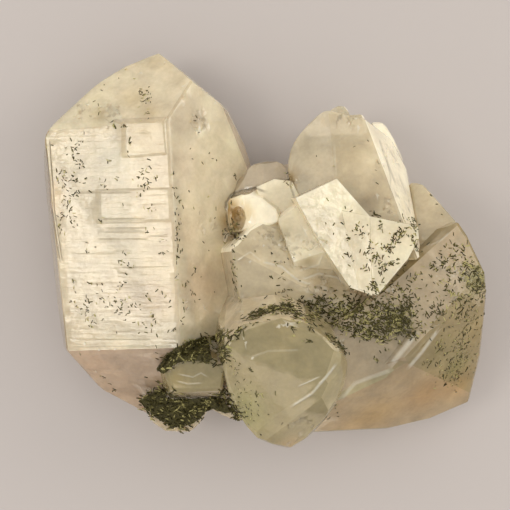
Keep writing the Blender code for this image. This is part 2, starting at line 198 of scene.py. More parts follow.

# Ridges and grooves on the quartz, each by the points that it follows in the picture, half its
# width in pixels, how far it rises in millimetres, and its tint. The tint is painted light and
# shade: above 1 a painted highlight along a ridge or a lightened step wall, below 1 painted shade
# along a groove or line.
CREASES = {
    "long front, top step, left side": ([(126.6, 121), (126.6, 155)], 2.2, 0.0, 1.2),
    "long front, top step, foot": ([(126.6, 155), (165, 154.4)], 2.2, 0.0, 1.24),
    "long front, top step, right side": ([(164.4, 121), (165.2, 154)], 2.0, 0.0, 1.2),
    "long front, middle step, left side": ([(99.8, 192), (100.4, 219)], 1.6, 0.0, 1.15),
    "long front, bright step": ([(136, 133), (152, 132.6)], 1.2, 0.03, 1.14),
    "long front, upper line": ([(79, 192.5), (133, 192)], 1.5, -0.04, 0.87),
    "long front, line 1": ([(146, 188.6), (168, 188)], 1.0, -0.024, 0.94),
    "long front, line 2": ([(147, 195.6), (168, 195)], 1.0, -0.024, 0.94),
    "long front, line 3": ([(140, 204.7), (169, 204)], 1.0, -0.024, 0.94),
    "long front, line 4": ([(100, 219.5), (147, 219)], 1.3, -0.048, 0.83),
    "long front, line 5": ([(101, 222.4), (147, 222)], 1.2, 0.04, 1.18),
    "long front, line 6": ([(103, 231.6), (146, 231)], 1.3, 0.05, 1.18),
    "long front, line 7": ([(104, 228.6), (146, 228)], 1.2, -0.032, 0.88),
    "long front, line 8": ([(147, 236.2), (169, 235.6)], 1.2, 0.04, 1.18),
    "long front, line 9": ([(96, 239.6), (150, 239)], 1.2, -0.032, 0.92),
    "long front, line 10": ([(70, 254), (118, 253.4)], 1.0, -0.024, 0.94),
    "long front, line 11": ([(88, 283.8), (106, 283.6)], 1.0, -0.032, 0.88),
    "long front, line 12": ([(120, 268), (170, 267)], 1.0, -0.024, 0.95),
    "long front, foot 1": ([(76, 340), (150, 340)], 1.3, -0.032, 0.92),
    "long front, foot 2": ([(74, 346), (172, 346)], 1.2, 0.04, 1.14),
    "long left, groove 1": ([(46, 145), (51, 205), (60, 262)], 1.0, -0.1, 0.5),
    "long left, groove 2": ([(49.5, 140), (54.5, 210), (62.5, 262)], 1.0, -0.1, 0.55),
    "long right, fracture 1": ([(227, 304), (237, 293)], 1.0, 0.05, 1.25),
    "long right, fracture 2": ([(230, 309), (240, 299)], 1.0, 0.05, 1.25),
    "long right, fracture 3": ([(232, 313), (243, 311), (241, 321), (233, 321)], 1.0, 0.05, 1.2),
    "stained, rim": ([(226, 212), (226, 202.5), (232, 194), (243, 189), (255, 188), (266, 192)], 1.8, -0.1, 0.5),
    "stained, lower rim": ([(226, 212), (228, 226), (238, 240)], 1.6, -0.08, 0.6),
    "stained, seam": ([(292, 174), (290.5, 186), (295, 199)], 1.6, -0.08, 0.62),
    "upper, ridge": ([(334, 143), (336, 178)], 1.8, 0.06, 1.2),
    "upper right, stripe 1": ([(379, 138), (388, 163), (396, 184)], 1.4, -0.08, 0.74),
    "upper right, stripe 2": ([(385, 142), (401, 168)], 1.2, -0.06, 0.8),
    "upper right, stripe 3": ([(387, 158), (391, 178), (390, 192)], 1.2, -0.06, 0.8),
    "upper right, stripe 4": ([(398, 172), (407, 196)], 1.2, -0.05, 0.84),
    "centre, wave": (
        [(262, 262), (282, 266.5), (290, 274), (299, 281), (312, 285)], 1.8, 0.14, 1.4,
    ),
    "centre, arch": ([(299, 271), (319, 264.5), (323, 254)], 1.5, 0.1, 1.35),
    "centre, left wave": ([(236, 262), (250, 252), (262, 262)], 1.4, 0.08, 1.25),
    "broad, upper line": ([(429, 246), (440, 241), (450, 232)], 1.5, 0.06, 1.3),
    "centre, brow": ([(302, 279.5), (319, 273.5), (337, 277.5), (346, 285)], 1.6, 0.12, 1.4),
    "centre, rib": ([(319, 265), (317, 273)], 1.4, 0.08, 1.3),
    "broad, long band": ([(391, 364.6), (416.6, 333.8)], 3.2, 0.1, 1.5),
    "broad, short band": ([(408, 368), (422, 352), (438, 330)], 2.2, 0.09, 1.5),
    "broad, low band": ([(341, 399), (355, 383), (391, 370)], 2.6, 0.08, 1.35),
    "front, bright line": (
        [(291.6, 406), (311.5, 393.6), (326, 377), (336, 364)], 1.8, 0.14, 1.6,
    ),
    "front, short line": ([(298, 386.5), (320, 376.5)], 1.1, 0.08, 1.6),
    "front, arc": ([(250, 358), (268, 351), (300, 350)], 1.6, 0.05, 1.15),
    "low, swirl 1": ([(178, 374), (193, 377), (201, 373), (208, 377)], 1.2, 0.05, 1.3),
    "low, swirl 2": ([(176, 381), (188, 384), (203, 383)], 1.2, 0.05, 1.25),
}

# Small chips in the quartz, each by its place in the picture and its radius in millimetres. A chip
# is a flat cut that mirrors the key light to the camera, and its corners are also painted lighter
# towards the glint tone, a painted highlight.
CHIPS = [
    (200, 129.5, 0.95), (187, 302, 0.3), (188.5, 308, 0.35), (205, 308, 0.26), (84.5, 344, 0.36),
    (99, 350, 0.3), (115, 349, 0.34), (280, 245, 0.55), (264, 245, 0.36), (293.5, 257.5, 0.45),
    (286, 263, 0.26), (301, 241, 0.3), (358.6, 126.5, 0.42), (356, 118, 0.36), (378, 195, 0.5),
    (389, 201, 0.36), (283, 325.5, 0.5), (290, 324, 0.5), (337, 338, 0.5), (342, 345, 0.5),
    (389, 290, 0.5), (246, 343, 0.36), (252.6, 358, 0.36), (250, 222, 0.35), (118, 112, 0.4),
    (88, 104, 0.4), (101, 106, 0.3), (183, 86, 0.35), (141, 72, 0.3), (120, 366, 0.3),
    (96, 372, 0.3), (305, 230, 0.35), (318, 246, 0.3), (279, 326.5, 0.45), (287, 325, 0.45),
    (340, 341, 0.45), (250, 262, 0.3), (310, 255, 0.3), (393, 290, 0.4), (244, 338, 0.3),
    (165, 62, 0.3), (208, 92, 0.35), (216, 102, 0.3),
]

# Broken ground, where many small cuts meet: its place in the picture, its reach in pixels, the
# number of cuts, their radius in millimetres and how far they tilt in degrees. Each cut is also
# painted a little lighter or darker at random, as painted glints and shade.
BROKEN_GROUND = [
    (268, 238, 16, 34, 0.6, 14), (292, 250, 18, 36, 0.6, 16), (312, 244, 11, 20, 0.6, 16),
    (236, 233, 8, 26, 0.5, 24), (235, 212, 9, 22, 0.6, 18), (112, 116, 13, 18, 0.6, 12),
    (84, 110, 12, 14, 0.6, 12), (338, 342, 6, 14, 0.5, 22), (199, 120, 9, 16, 0.8, 12),
    (352, 113, 14, 18, 0.7, 14), (290, 182, 7, 14, 0.5, 18), (237, 302, 10, 16, 0.6, 12),
    (205, 222, 12, 14, 0.6, 8), (398, 205, 14, 18, 0.7, 10), (300, 435, 16, 14, 0.9, 10),
    (455, 278, 24, 40, 0.5, 14), (320, 288, 14, 24, 0.6, 16), (388, 160, 12, 16, 0.8, 14),
]

# Rough broken spots on the quartz: place in the picture, radius and height in millimetres.
ROUGH_SPOTS = [
    (391, 152, 2.6, 0.06), (402, 190, 2.2, 0.05), (212, 200, 2.0, 0.03), (186, 306, 1.6, 0.05),
    (440, 350, 3.0, 0.03), (300, 432, 2.6, 0.03), (236, 232, 1.4, 0.08),
]

# Strands of epidote needles over the crystals: from one place in the picture to another, the
# spread in pixels to each side and the number of needles.
LOOSE_NEEDLES = {
    "needles_long": [
        (143, 89, 147, 103, 2.2, 30), (146, 107, 148, 119, 1.0, 6), (97, 107, 100, 114, 1.0, 4),
        (112, 122, 116, 130, 1.2, 7), (122, 122, 126, 129, 1.4, 6), (128, 135, 131, 156, 0.9, 9),
        (68, 152, 80, 143, 2.4, 16), (75, 150, 75, 160, 2.2, 9), (58, 173, 82, 180, 2.6, 24),
        (60, 180, 70, 186, 2.2, 8), (80, 160, 85, 171, 1.2, 6), (72, 190, 78, 198, 1.8, 9),
        (66, 196, 68, 207, 2.4, 14), (60, 209, 66, 222, 2.0, 9), (72, 214, 76, 227, 1.8, 8),
        (55, 224, 60, 231, 1.4, 5), (98, 179, 106, 186, 1.8, 7), (106, 164, 110, 159, 1.0, 4),
        (115, 180, 118, 178, 0.8, 3), (139, 176, 148, 168, 1.6, 10), (141, 178, 147, 187, 1.8, 16),
        (138, 199, 141, 191, 0.9, 5), (154, 178, 159, 182, 0.7, 4), (148, 207, 152, 215, 1.2, 7),
        (147, 230, 148, 237, 0.7, 4), (99, 221, 101, 223, 0.6, 3), (85, 248, 88, 252, 1.2, 4),
        (122, 252, 128, 254, 0.8, 3), (160, 240, 168, 241, 0.8, 3), (158, 253, 167, 254, 0.7, 5),
        (118, 261, 136, 268, 1.6, 9), (124, 277, 118, 290, 1.6, 9), (72, 281, 78, 290, 1.4, 6),
        (84, 283, 104, 284, 0.7, 6), (88, 295, 88, 311, 1.1, 13), (80, 313, 96, 319, 2.0, 15),
        (90, 323, 92, 330, 0.8, 5), (72, 300, 80, 308, 2.0, 6), (100, 295, 134, 307, 4.0, 34),
        (106, 310, 132, 312, 2.0, 15), (148, 293, 151, 301, 1.0, 6), (150, 314, 156, 325, 1.6, 7),
        (175, 186, 178, 220, 1.3, 10), (177, 222, 179, 250, 1.4, 16), (176, 254, 178, 281, 1.2, 9),
        (170, 178, 174, 171, 0.8, 4), (182, 285, 184, 330, 1.2, 7), (193, 264, 196, 276, 1.2, 6),
        (186, 284, 200, 299, 2.2, 8), (172, 331, 177, 328, 1.0, 4), (160, 290, 170, 302, 2.0, 6),
        (138, 330, 168, 322, 4.0, 9), (195, 118, 203, 128, 2.2, 4), (192, 158, 194, 160, 0.5, 1),
        (232, 164, 236, 183, 0.8, 3), (232, 247, 234, 256, 0.8, 3), (231, 260, 235, 284, 0.6, 9),
        (236, 286, 241, 303, 0.6, 8), (100, 379, 105, 376, 0.8, 3), (113, 387, 115, 392, 0.7, 4),
        (118, 405, 140, 418, 3.0, 3), (70, 135, 165, 345, 26.0, 46), (190, 130, 215, 300, 10.0, 16),
        (80, 95, 130, 80, 8.0, 7),
    ],
    "needles_bright": [
        (393, 239, 405, 230, 1.6, 28), (388, 249, 395, 240, 1.2, 14), (411, 236, 418, 251, 1.4, 21),
        (400, 216, 415, 223, 1.8, 14), (370, 212, 381, 217, 1.6, 10), (378, 219, 382, 229, 1.4, 7),
        (345, 254, 355, 258, 1.4, 8), (358, 226, 367, 240, 2.2, 10), (369, 247, 379, 263, 2.4, 25),
        (384, 246, 392, 256, 2.0, 12), (345, 240, 352, 239, 0.9, 6), (379, 266, 385, 277, 2.0, 15),
        (361, 269, 370, 268, 1.2, 9), (371, 281, 378, 293, 1.9, 25), (384, 261, 403, 262, 1.5, 18),
        (386, 270, 392, 262, 1.6, 9), (400, 225, 410, 245, 4.0, 16), (352, 225, 380, 262, 9.0, 18),
        (325, 205, 350, 245, 8.0, 8), (412, 222, 418, 232, 1.4, 12), (366, 255, 372, 248, 1.2, 7),
    ],
    "needles_broad": [
        (405, 268, 410, 274, 1.4, 5), (414, 274, 420, 281, 1.4, 9), (398, 289, 409, 289, 1.8, 12),
        (440, 263, 456, 257, 2.2, 27), (450, 240, 471, 259, 2.8, 19), (462, 262, 478, 270, 1.4, 24),
        (452, 268, 468, 281, 3.0, 32), (470, 281, 478, 293, 1.8, 35), (446, 262, 452, 273, 2.0, 11),
        (440, 284, 451, 291, 1.8, 12), (454, 294, 471, 299, 2.2, 24), (429, 264, 433, 271, 1.6, 5),
        (431, 304, 446, 316, 2.4, 22), (455, 304, 463, 313, 2.4, 16), (464, 325, 471, 346, 2.2, 14),
        (420, 322, 424, 336, 1.0, 11), (435, 339, 446, 353, 2.4, 16), (424, 360, 441, 366, 3.0, 14),
        (454, 340, 466, 351, 2.0, 9), (440, 300, 470, 330, 8.0, 40), (390, 290, 425, 310, 6.0, 35),
        (402, 302, 412, 320, 3.0, 60), (395, 315, 408, 332, 3.0, 40), (472, 268, 486, 300, 3.0, 50),
        (462, 352, 445, 378, 6.0, 24), (440, 255, 476, 320, 12.0, 90),
        (360, 285, 420, 300, 5.0, 40), (425, 290, 436, 330, 5.0, 16), (430, 370, 465, 385, 6.0, 11), (375, 355, 377, 360, 0.9, 5),
        (383, 348, 386, 354, 1.2, 4), (478, 276, 484, 283, 1.4, 8), (428, 245, 450, 300, 8.0, 19),
    ],
    "needles_moss": [
        (468, 345, 446, 384, 6.0, 150), (476, 262, 484, 300, 3.0, 60), (240, 380, 250, 420, 5.0, 50),
        (226, 350, 236, 372, 2.0, 30), (465, 300, 470, 340, 5.0, 60),
    ],
    "needles_front": [
        (250, 367, 252, 373, 0.8, 5), (255, 395, 261, 393, 0.8, 6), (226, 399, 236, 417, 1.4, 34),
        (239, 408, 243, 420, 0.9, 10), (335, 404, 338, 416, 0.5, 5), (325, 420, 330, 418, 0.8, 3),
        (287, 329, 297, 328, 1.0, 8), (303, 341, 313, 341, 0.8, 10), (240, 375, 262, 420, 7.0, 12),
        (292, 333, 297, 339, 1.0, 4), (328, 337, 336, 348, 1.0, 8), (345, 349, 350, 353, 1.0, 3),
        (222, 372, 228, 398, 1.0, 10),
    ],
    "needles_centre": [
        (271, 250, 273, 253, 0.8, 2), (274, 262, 278, 266, 0.8, 3), (271, 277, 273, 279, 0.6, 2),
        (284, 255, 292, 262, 3.0, 3), (240, 316, 258, 316, 1.6, 12), (250, 320, 256, 324, 1.6, 5),
        (283, 292, 300, 300, 4.0, 14), (300, 290, 330, 300, 4.0, 14), (245, 270, 290, 300, 10.0, 9),
        (436, 190, 450, 215, 5.0, 6), (340, 150, 372, 190, 12.0, 6), (226, 231, 240, 238, 2.4, 40), (230, 222, 236, 233, 2.4, 22),
        (286, 176, 292, 184, 1.6, 10), (233, 245, 236, 300, 0.8, 18), (228, 206, 232, 196, 1.0, 6),
    ],
}

# How long the needles of each group are, as a share of the common length.
NEEDLE_SIZES = {
    "needles_long": 0.8,
    "needles_bright": 0.9,
    "needles_broad": 0.95,
    "needles_moss": 0.5,
    "needles_front": 0.85,
    "needles_centre": 0.8,
}

# The thick epidote, in the same way, by the node that each piece stands for.
THICK_NEEDLES = {
    "epidote_crust_lower": [
        (226, 394, 236, 412, 1.6, 60), (232, 408, 240, 420, 1.4, 36),
        (141, 402, 160, 390, 2.6, 44), (158, 390, 180, 398, 2.8, 52), (144, 409, 176, 421, 3.0, 68),
        (176, 402, 203, 413, 3.4, 72), (200, 402, 225, 392, 1.8, 48), (162, 424, 196, 429, 2.4, 40),
        (200, 405, 223, 400, 2.0, 36), (178, 416, 206, 412, 3.2, 40), (150, 400, 190, 406, 4.0, 64),
    ],
    "epidote_crust_upper": [
        (186, 345, 229, 334, 2.0, 99), (170, 359, 190, 346, 2.4, 54), (160, 370, 175, 358, 2.0, 40),
        (184, 355, 220, 350, 3.4, 76), (200, 362, 222, 361, 1.2, 23), (228, 345, 221, 363, 1.8, 32),
        (231, 339, 244, 327, 1.6, 27), (180, 360, 200, 360, 1.4, 14),
    ],
    "epidote_band": [
        (250, 318, 264, 311, 1.6, 50), (264, 311, 292, 310, 2.2, 90), (292, 312, 345, 304, 5.0, 130),
        (330, 315, 405, 322, 6.0, 190), (345, 305, 410, 306, 4.0, 110),
        (255, 317, 272, 308, 1.1, 39), (272, 308, 292, 304, 1.4, 48), (290, 305, 299, 319, 1.5, 51),
        (299, 318, 322, 316, 1.5, 39), (302, 301, 318, 308, 2.4, 30), (319, 304, 343, 309, 2.2, 39),
        (345, 304, 358, 316, 3.0, 51), (328, 319, 346, 331, 2.6, 33), (344, 324, 366, 335, 3.0, 69),
        (360, 322, 401, 331, 4.6, 225), (364, 335, 386, 340, 1.8, 54), (394, 314, 413, 336, 3.2, 90),
        (372, 305, 402, 313, 3.4, 51), (327, 334, 344, 350, 1.1, 39), (345, 310, 400, 318, 4.0, 75),
        (308, 322, 313, 329, 2.0, 12),
    ],
}



def picture_ray(px, py):
    """The direction from the camera through this point of the picture."""
    half = PICTURE_SIDE / 2
    return Vector((px - half, half - py, -FOCAL_PIXELS)).normalized()


def picture_place(point):
    """The place in the picture, in pixels, where this point shows."""
    away = point - CAMERA_PLACE
    scale = FOCAL_PIXELS / -away.z
    return PICTURE_SIDE / 2 + away.x * scale, PICTURE_SIDE / 2 - away.y * scale


class Wire:
    """A socket of a shader graph, so that number maths reads as an expression."""

    def __init__(self, graph, socket):
        self.graph = graph
        self.socket = socket

    def maths(self, operation, first, second=None, third=None):
        values = [value for value in (first, second, third) if value is not None]
        return self.graph.node("ShaderNodeMath", {"operation": operation}, dict(enumerate(values)))

    def __add__(self, other):
        return self.maths("ADD", self, other)

    __radd__ = __add__

    def __sub__(self, other):
        return self.maths("SUBTRACT", self, other)

    def __rsub__(self, other):
        return self.maths("SUBTRACT", other, self)

    def __mul__(self, other):
        return self.maths("MULTIPLY", self, other)

    __rmul__ = __mul__

    def __truediv__(self, other):
        return self.maths("DIVIDE", self, other)

    def above(self, edge):
        return self.maths("GREATER_THAN", self, edge)

    def highest(self, other):
        return self.maths("MAXIMUM", self, other)

    def lowest(self, other):
        return self.maths("MINIMUM", self, other)

    def size(self):
        return self.maths("ABSOLUTE", self)

    def clipped(self):
        return self.highest(0.0).lowest(1.0)

    def fade(self, low, high):
        """0 at low and 1 at high, smooth between them; low may be the larger."""
        if low > high:
            return 1.0 - self.fade(high, low)
        settings = {"interpolation_type": "SMOOTHSTEP"}
        return self.graph.node(
            "ShaderNodeMapRange", settings, {"Value": self, "From Min": low, "From Max": high}
        )


class Graph:
    """The shader graph of one material."""

    def __init__(self, name):
        self.material = bpy.data.materials.new(name)
        self.material.use_nodes = True
        self.tree = self.material.node_tree
        self.tree.nodes.clear()

    def node(self, kind, settings=None, inputs=None, output=0):
        """Adds a node, sets it up, feeds its sockets, and gives back one of its outputs."""
        made = self.tree.nodes.new(kind)
        for name, value in (settings or {}).items():
            if name == "stops":
                ramp = made.color_ramp
                while len(ramp.elements) < len(value):
                    ramp.elements.new(0.5)
                for element, (place, colour) in zip(ramp.elements, value):
                    element.position = place
                    element.color = colour
            else:
                setattr(made, name, value)
        for name, value in (inputs or {}).items():
            if isinstance(value, Wire):
                self.tree.links.new(value.socket, made.inputs[name])
            else:
                made.inputs[name].default_value = value
        return Wire(self, made.outputs[output])

    def places(self, turn=(0.0, 0.0, 0.0), scale=(1.0, 1.0, 1.0)):
        """Object coordinates in millimetres, turned and stretched."""
        here = self.node("ShaderNodeTexCoord", output="Object")
        size = tuple(value / MM for value in scale)
        return self.node("ShaderNodeMapping", {}, {"Vector": here, "Rotation": turn, "Scale": size})

    def noise(self, where, scale, detail=2.0, distortion=0.0):
        values = {"Vector": where, "Scale": scale, "Detail": detail, "Distortion": distortion}
        return self.node("ShaderNodeTexNoise", {}, values)

    def blend(self, factor, first, second, how="MIX"):
        """A colour between two colours."""
        settings = {"data_type": "RGBA", "blend_type": how, "clamp_factor": True}
        return self.node("ShaderNodeMix", settings, {0: factor, 6: first, 7: second}, output=2)

    def grey(self, value):
        """A number as a colour."""
        return self.node("ShaderNodeCombineColor", {}, {0: value, 1: value, 2: value})

    def bump(self, height, depth, normal=None):
        """A surface normal roughened by a height, where depth is in metres."""
        inputs = {"Height": height, "Distance": depth, "Strength": 1.0}
        if normal is not None:
            inputs["Normal"] = normal
        return self.node("ShaderNodeBump", {}, inputs)

    def finish(self, surface, volume=None):
        out = self.tree.nodes.new("ShaderNodeOutputMaterial")
        self.tree.links.new(surface.socket, out.inputs["Surface"])
        if volume is not None:
            self.tree.links.new(volume.socket, out.inputs["Volume"])
        return self.material


def quartz_material(looks):
    """Milky quartz over clear quartz: a mask of clouds and veils decides how much of each shows."""
    graph = Graph("milky quartz")
    here = graph.places()
    tone = graph.node("ShaderNodeVertexColor", {"layer_name": "tone"})
    clearness = graph.node("ShaderNodeVertexColor", {"layer_name": "tone"}, output="Alpha")
    clouds = graph.noise(here, 0.3, 5.0, 0.4)
    sugar = graph.noise(here, 1.8, 4.0)
    lines = graph.noise(graph.places((0.0, 0.0, 0.02), (0.05, 1.6, 0.5)), 1.0, 3.0)
    lined = graph.node("ShaderNodeVertexColor", {"layer_name": "lined"}, output="Alpha")
    light = 0.94 + 0.09 * clouds.fade(0.3, 0.7) + 0.06 * (sugar - 0.5)
    light = light + 0.2 * lined * (lines - 0.5)
    colour = graph.blend(1.0, tone, graph.grey(light), "MULTIPLY")
    waves = graph.noise(here, 0.6, 2.0)
    fine = graph.noise(here, 5.0, 3.0)
    normal = graph.bump(waves * 0.7 + fine * 0.08 + lined * lines * 0.5, 0.00012)
    rough = 0.05 + 0.12 * graph.noise(here, 0.5, 3.0).fade(0.45, 0.75)
    clear = graph.node(
        "ShaderNodeBsdfPrincipled",
        {},
        {
            "Base Color": (0.97, 0.96, 0.93, 1.0),
            "Transmission Weight": 1.0,
            "IOR": looks.quartz_ior,
            "Roughness": rough,
            "Normal": normal,
        },
    )
    milky = graph.node(
        "ShaderNodeBsdfPrincipled",
        {"subsurface_method": "RANDOM_WALK"},
        {
            "Base Color": colour,
            "IOR": looks.quartz_ior,
            "Roughness": rough,
            "Subsurface Weight": 0.4,
            "Subsurface Radius": (1.0, 0.85, 0.65),
            "Subsurface Scale": 0.003,
            "Normal": normal,
        },
    )
    cloudy = (clearness * looks.milk + 0.26 * (clouds - 0.5) + 0.1 * (sugar - 0.5)).clipped()
    surface = graph.node("ShaderNodeMixShader", {}, {0: cloudy, 1: clear, 2: milky})
    volume = graph.node(
        "ShaderNodeVolumeAbsorption", {}, {"Color": (0.93, 0.82, 0.66, 1.0), "Density": 35.0}
    )
    return graph.finish(surface, volume)


def epidote_material(looks):
    """Green epidote: every needle has its own shade, from nearly black to light olive."""
    if EPIDOTE_MATERIAL in bpy.data.materials:
        return bpy.data.materials[EPIDOTE_MATERIAL]
    graph = Graph(EPIDOTE_MATERIAL)
    here = graph.places()
    shade = graph.node("ShaderNodeVertexColor", {"layer_name": "shade"})
    patches = graph.noise(here, 0.5, 2.0)
    fine = graph.noise(graph.places((0.0, 0.0, 0.4), (0.6, 2.5, 1.0)), 2.5, 3.0)
    level = graph.node("ShaderNodeRGBToBW", {}, {"Color": shade})
    level = (level + 0.9 * (patches - 0.5) + 0.2 * (fine - 0.5)).clipped()
    colour = graph.blend(level.fade(0.1, 0.7), looks.epidote_dark, looks.epidote_light)
    colour = graph.blend(level.fade(0.7, 0.95), colour, looks.epidote_olive)
    normal = graph.bump(fine, 0.0001)
    surface = graph.node(
        "ShaderNodeBsdfPrincipled",
        {},
        {
            "Base Color": colour,
            "IOR": 1.74,
            "Specular IOR Level": 0.25,
            "Specular Tint": looks.epidote_sheen,
            "Roughness": 0.22 + 0.3 * patches,
            "Normal": normal,
        },
    )
    return graph.finish(surface)


class QuartzLooks(bpy.types.PropertyGroup):
    """Sizes and finish of the quartz."""

    quartz_ior: bpy.props.FloatProperty(
        name="Index", description="Refractive index of the quartz", default=1.55
    )
    edge: bpy.props.FloatProperty(
        name="Edge", description="Width of the worn edges", default=0.05 * MM, unit="LENGTH"
    )
    milk: bpy.props.FloatProperty(
        name="Milk", description="Share of every facet's milkiness that shows", default=0.62
    )
    grid: bpy.props.FloatProperty(
        name="Grid", description="Longest edge of the fine mesh", default=2.0 * MM, unit="LENGTH"
    )


class EpidoteLooks(bpy.types.PropertyGroup):
    """Sizes and colours of the epidote."""

    epidote_dark: bpy.props.FloatVectorProperty(
        name="Dark", description="Darkest green", size=4, default=(0.015, 0.013, 0.003, 1.0),
        subtype="COLOR",
    )
    epidote_light: bpy.props.FloatVectorProperty(
        name="Green", description="Common green", size=4, default=(0.062, 0.056, 0.016, 1.0),
        subtype="COLOR",
    )
    epidote_olive: bpy.props.FloatVectorProperty(
        name="Olive", description="Olive of the thin edges", size=4,
        default=(0.36, 0.33, 0.14, 1.0), subtype="COLOR",
    )
    epidote_sheen: bpy.props.FloatVectorProperty(
        name="Sheen", description="Tint of the reflections", size=4,
        default=(0.95, 0.86, 0.5, 1.0), subtype="COLOR",
    )
    needle_length: bpy.props.FloatProperty(
        name="Needle length", description="Common length of a needle", default=0.62 * MM,
        unit="LENGTH",
    )
    needle_width: bpy.props.FloatProperty(
        name="Needle width", description="Common width of a needle", default=0.17 * MM,
        unit="LENGTH",
    )
    mat_grid: bpy.props.FloatProperty(
        name="Mat grid", description="Longest edge of a mat's mesh", default=0.42 * MM,
        unit="LENGTH",
    )
    mat_height: bpy.props.FloatProperty(
        name="Mat roughness", description="How rough the mats are", default=0.22 * MM,
        unit="LENGTH",
    )
    mat_pile: bpy.props.FloatProperty(
        name="Mat pile", description="How high needles pile on a mat", default=0.12 * MM,
        unit="LENGTH",
    )
    band_pile: bpy.props.FloatProperty(
        name="Band pile", description="How high needles pile in the band", default=0.22 * MM,
        unit="LENGTH",
    )


class StageLooks(bpy.types.PropertyGroup):
    """The floor, the light and the air around the cluster."""

    floor: bpy.props.FloatVectorProperty(
        name="Floor", description="Colour of the floor", size=4, default=(0.46, 0.43, 0.43, 1.0),
        subtype="COLOR",
    )
    key: bpy.props.FloatProperty(
        name="Key light", description="Radiance of the light at the left", default=5.6
    )
    fill: bpy.props.FloatProperty(
        name="Fill light", description="Radiance of the low light at the right", default=3.0
    )
    air: bpy.props.FloatProperty(
        name="Air", description="Strength of the light from all round", default=1.08
    )


def add_piece(name, shape, materials):
    """Turns a shape into a finished piece that moves with the cluster."""
    for face in shape.faces:
        face.smooth = True
    mesh = bpy.data.meshes.new(name)
    shape.to_mesh(mesh)
    shape.free()
    mesh.set_sharp_from_angle(angle=SHARP)
    piece = bpy.data.objects.new(name, mesh)
    for material in materials:
        mesh.materials.append(material)
    bpy.context.scene.collection.objects.link(piece)
    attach(piece, BODY)
    return piece


def merged_copy(node):
    """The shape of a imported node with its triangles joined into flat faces."""
    shape = bmesh.new()
    shape.from_mesh(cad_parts[node].data)
    bmesh.ops.remove_doubles(shape, verts=shape.verts[:], dist=2e-6)
    bmesh.ops.dissolve_limit(
        shape, angle_limit=math.radians(0.6), verts=shape.verts[:], edges=shape.edges[:]
    )
    return shape


def wear_edges(shape, width):
    """Bevels the long outer edges between facets."""
    worn = [
        edge
        for edge in shape.edges
        if edge.is_convex
        and edge.calc_length() > SHORTEST_WORN_EDGE
        and edge.calc_face_angle(0.0) > SHARP
        and max(vert.co.z for vert in edge.verts) > 0.5 * MM
    ]
    bmesh.ops.bevel(
        shape, geom=worn, offset=width, offset_type="OFFSET", segments=1, profile=0.5,
        affect="EDGES", material=-1,
    )


def along(points, step):
    """Places along a line of points, no further apart than this."""
    places = []
    for (x0, y0), (x1, y1) in zip(points, points[1:]):
        steps = max(1, math.ceil(math.hypot(x1 - x0, y1 - y0) / step))
        for number in range(steps + 1):
            share = number / steps
            places.append((x0 + share * (x1 - x0), y0 + share * (y1 - y0)))
    return places


def crease_offset(points, px, py):
    """How far, in pixels, a place is from a crease, and how near it is to an end of it."""
    best = 1e9
    for (x0, y0), (x1, y1) in zip(points, points[1:]):
        dx, dy = x1 - x0, y1 - y0
        share = ((px - x0) * dx + (py - y0) * dy) / (dx * dx + dy * dy)
        share = min(1.0, max(0.0, share))
        best = min(best, math.hypot(px - x0 - share * dx, py - y0 - share * dy))
    ends = min(math.hypot(px - x, py - y) for x, y in (points[0], points[-1]))
    return best, min(1.0, ends / 4.0)


def cut_creases(shape):
    """Cuts the facets along the crest and both feet of every ridge and groove."""
    for points, width, _, _ in CREASES.values():
        for (x0, y0), (x1, y1) in zip(points, points[1:]):
            length = math.hypot(x1 - x0, y1 - y0)
            nx, ny = (y0 - y1) / length, (x1 - x0) / length
            for side in (-width, 0.0, width):
                tree = BVHTree.FromBMesh(shape)
                shape.faces.ensure_lookup_table()
                start = picture_ray(x0 + side * nx, y0 + side * ny)
                end = picture_ray(x1 + side * nx, y1 + side * ny)
                crossed = set()
                for px, py in along(((x0, y0), (x1, y1)), 1.0):
                    ray = picture_ray(px + side * nx, py + side * ny)
                    index = tree.ray_cast(CAMERA_PLACE, ray)[2]
                    if index is not None:
                        crossed.add(shape.faces[index])
                parts = list(crossed)
                parts += list({edge for face in crossed for edge in face.edges})
                parts += list({vert for face in crossed for vert in face.verts})
                bmesh.ops.bisect_plane(
                    shape, geom=parts, dist=1e-6, plane_co=CAMERA_PLACE,
                    plane_no=start.cross(end).normalized(),
                )


def cell_of(point):
    """The small cube that a point lies in."""
    return tuple(round(value / CELL) for value in point)


def find_chips(tree):
    """The chips and the cuts of the broken ground: place, plane, shape and painted brightness of each, a painted
    highlight on the chips and a random lighter or darker painted tint on the cuts.
    """
    chance = random.Random(9)
    wanted = [(px, py, radius, None) for px, py, radius in CHIPS]
    for px, py, reach, count, radius, tilt in BROKEN_GROUND:
        for _ in range(count):
            turn = chance.uniform(0, 2 * math.pi)
            away = reach * math.sqrt(chance.random())
            size = radius * chance.uniform(0.5, 1.3)
            wanted.append((px + away * math.cos(turn), py + away * math.sin(turn), size, tilt))
    chips = []
    for px, py, radius, tilt in wanted:
        place, normal, _, _ = tree.ray_cast(CAMERA_PLACE, picture_ray(px, py))
        if place is None:
            continue
        turn = chance.uniform(0, 2 * math.pi)
        if tilt is None:
            to_key = (KEY_PLACE - place).normalized()
            facing = (to_key + (CAMERA_PLACE - place).normalized()).normalized()
            # Painted highlight: the chip faces the key light and its corners are painted towards the glint tone.
            bright = 1.6
        else:
            lean = math.tan(math.radians(tilt)) * chance.gauss(0, 1)
            aside = normal.orthogonal().normalized()
            aside.rotate(Quaternion(normal, chance.uniform(0, 2 * math.pi)))
            facing = (normal + aside * lean).normalized()
            bright = chance.uniform(0.72, 1.28)
        length = facing.orthogonal().normalized()
        length.rotate(Quaternion(facing, turn))
        axes = (length / (radius * MM), facing.cross(length) / (radius * MM * chance.uniform(0.35, 0.8)))
        chips.append((place - normal * (0.12 * radius * MM), facing, axes, radius, bright))
    return chips


